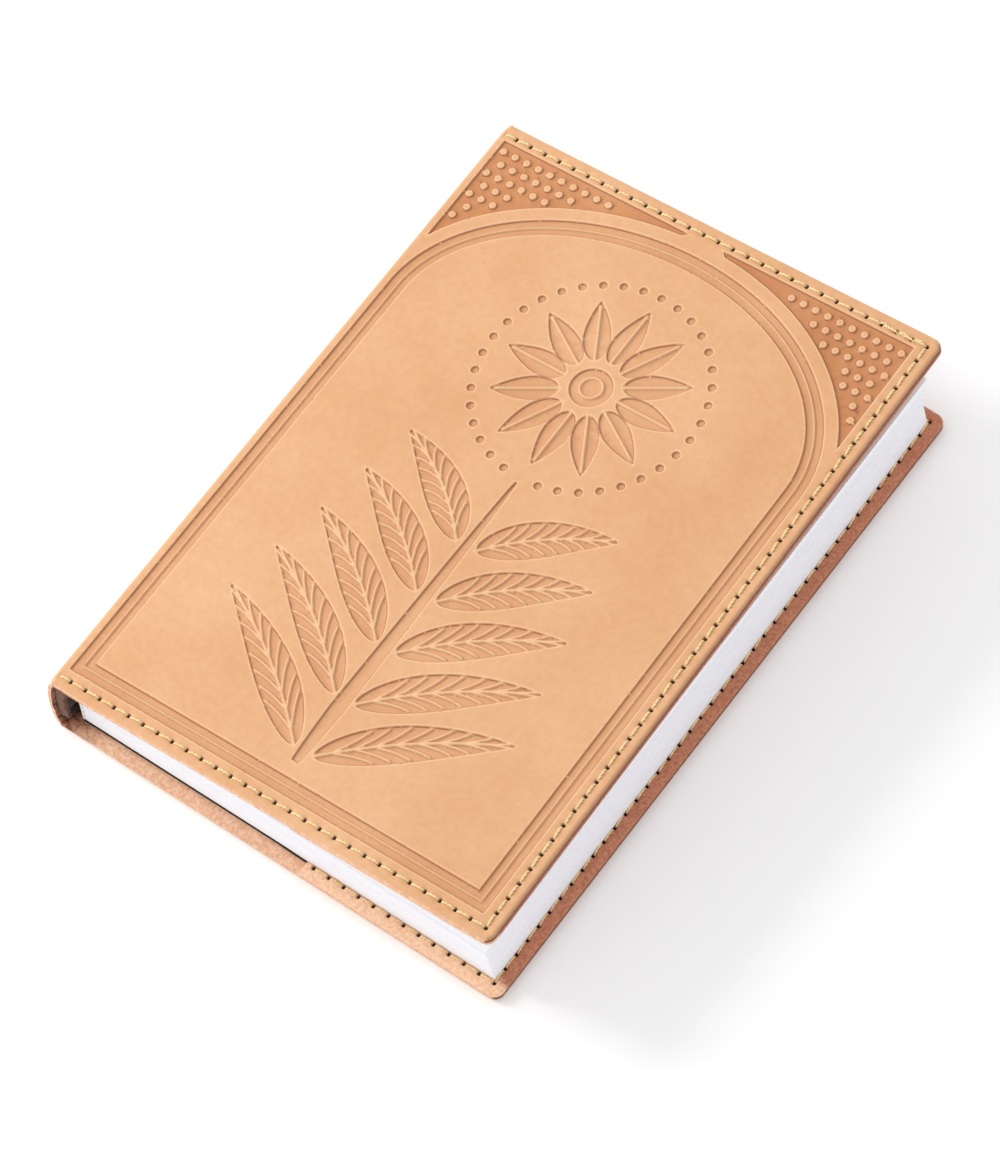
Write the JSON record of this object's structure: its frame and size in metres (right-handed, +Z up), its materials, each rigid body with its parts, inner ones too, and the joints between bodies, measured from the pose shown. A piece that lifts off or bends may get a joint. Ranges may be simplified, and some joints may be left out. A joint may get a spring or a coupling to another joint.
{
  "type": "leather notebook cover",
  "caption": "Stitched vegetable-tanned leather cover with an embossed front, wrapped round a white-paper refill that is held by card flaps in its inner pockets.",
  "frame": {"origin": "middle of the base of the bounding box, on the outer face of the back board", "axes": "+X from the spine to the fore edge, +Y from tail to head, +Z up through the pages"},
  "size_m": [0.1578, 0.2184, 0.0432],
  "materials": {
    "outer_leather": "natural vegetable-tanned leather, satin, darker where it is pressed",
    "pocket_leather": "reddish-brown suede side, matt",
    "spine_lining": "dark brown suede, creased",
    "gold_thread": "waxed twisted thread, gold",
    "refill_card": "smooth uncoated card",
    "mull_cloth": "open-weave cloth set in glue",
    "page_paper": "uncoated white paper"
  },
  "bodies": {
    "back_cover": {"back_cover_leather": "outer_leather", "back_pocket": "pocket_leather", "back_outer_thread": "gold_thread", "back_inner_thread": "gold_thread", "refill_back_card": "refill_card", "refill_mull": "mull_cloth", "signature_01": "page_paper", "signature_02": "page_paper", "signature_03": "page_paper", "signature_04": "page_paper", "signature_05": "page_paper", "signature_06": "page_paper"},
    "spine": {"spine_leather": "outer_leather", "spine_lining": "spine_lining", "spine_thread": "gold_thread", "spine_fold_lower": "outer_leather", "spine_fold_upper": "outer_leather"},
    "front_cover": {"front_cover_leather": "outer_leather", "front_pocket": "pocket_leather", "front_outer_thread": "gold_thread", "front_inner_thread": "gold_thread", "refill_front_card": "refill_card"},
    "leaves_1": {"page_group_01": "page_paper"},
    "leaves_2": {"page_group_02": "page_paper"},
    "leaves_3": {"page_group_03": "page_paper"},
    "leaves_4": {"page_group_04": "page_paper"},
    "leaves_5": {"page_group_05": "page_paper"}
  },
  "joints": [
    {"name": "spine_fold", "type": "hinge", "parent": "back_cover", "child": "spine", "pos_m": [-0.0772, 0, 0.00201], "axis": [0, -1, 0], "range_deg": [0, 95], "deforming": ["spine_fold_lower"]},
    {"name": "front_cover_fold", "type": "hinge", "parent": "spine", "child": "front_cover", "pos_m": [-0.07556, 0, 0.02482], "axis": [0, -1, 0], "range_deg": [0, 78.8], "deforming": ["spine_fold_upper"]},
    {"name": "leaves_1_turn", "type": "hinge", "parent": "back_cover", "child": "leaves_1", "pos_m": [-0.06768, 0, 0.0184], "axis": [0, -1, 0], "range_deg": [0, 33.3]},
    {"name": "leaves_2_turn", "type": "hinge", "parent": "back_cover", "child": "leaves_2", "pos_m": [-0.06768, 0, 0.0184], "axis": [0, -1, 0], "range_deg": [0, 76.05]},
    {"name": "leaves_3_turn", "type": "hinge", "parent": "back_cover", "child": "leaves_3", "pos_m": [-0.06768, 0, 0.0184], "axis": [0, -1, 0], "range_deg": [0, 114.05]},
    {"name": "leaves_4_turn", "type": "hinge", "parent": "back_cover", "child": "leaves_4", "pos_m": [-0.06768, 0, 0.0184], "axis": [0, -1, 0], "range_deg": [0, 147.3]},
    {"name": "leaves_5_turn", "type": "hinge", "parent": "back_cover", "child": "leaves_5", "pos_m": [-0.06768, 0, 0.0184], "axis": [0, -1, 0], "range_deg": [0, 175.52]}
  ],
  "couplings": [
    {"joint": "front_cover_fold", "follows": "spine_fold", "ratio": 0.8294},
    {"joint": "leaves_1_turn", "follows": "spine_fold", "ratio": 0.35},
    {"joint": "leaves_2_turn", "follows": "spine_fold", "ratio": 0.8},
    {"joint": "leaves_3_turn", "follows": "spine_fold", "ratio": 1.2},
    {"joint": "leaves_4_turn", "follows": "spine_fold", "ratio": 1.55},
    {"joint": "leaves_5_turn", "follows": "spine_fold", "ratio": 1.847}
  ]
}
